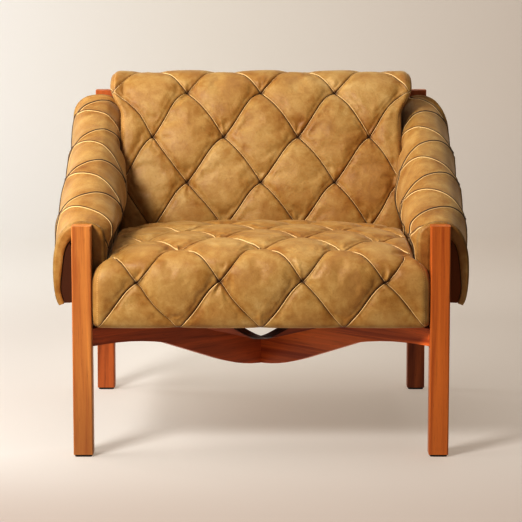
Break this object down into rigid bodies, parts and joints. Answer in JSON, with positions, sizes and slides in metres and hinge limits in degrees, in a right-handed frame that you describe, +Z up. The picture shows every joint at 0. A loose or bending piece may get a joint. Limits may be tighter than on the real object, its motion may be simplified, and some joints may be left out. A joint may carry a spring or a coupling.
{
  "type": "tufted leather lounge chair",
  "caption": "Low lounge chair with square hardwood posts, a crossed stretcher, diamond-tufted leather cushions and leather saddles draped over sloping arms.",
  "frame": {"origin": "on the floor under the middle of the chair's bounding box", "axes": "+X to the right as seen from the front, the front faces -Y, +Z up"},
  "size_m": [0.944, 0.8532, 0.8205],
  "materials": {
    "oiled_wood": "orange-brown hardwood with a thin oil finish, satin",
    "inner_wood": "unfinished beech inside the upholstery",
    "tan_leather": "camel aniline leather, soft sheen, mottled",
    "dark_lining": "dark brown woven lining",
    "foam": "upholstery foam",
    "webbing": "black elastic webbing",
    "glide": "black moulded glide",
    "screw_steel": "zinc-plated wood screw"
  },
  "bodies": {
    "root": {"front_post_left": "oiled_wood", "front_post_right": "oiled_wood", "rear_post_left": "oiled_wood", "rear_post_right": "oiled_wood", "arm_rail_left": "oiled_wood", "arm_rail_right": "oiled_wood", "side_rail_left": "oiled_wood", "side_rail_right": "oiled_wood", "stretcher_lower": "oiled_wood", "stretcher_upper": "oiled_wood", "back_rail_top": "oiled_wood", "back_rail_bottom": "oiled_wood", "seat_rail_front": "inner_wood", "seat_rail_rear": "inner_wood", "stretcher_dowels": "inner_wood", "rail_dowels": "inner_wood", "seat_cover": "tan_leather", "back_cover": "tan_leather", "arm_saddle_left": "tan_leather", "arm_saddle_right": "tan_leather", "arm_lining_left": "dark_lining", "arm_lining_right": "dark_lining", "dust_cover": "dark_lining", "seat_foam": "foam", "back_foam": "foam", "seat_webbing": "webbing", "back_webbing": "webbing", "foot_glides": "glide", "lap_screw": "screw_steel"}
  },
  "joints": []
}
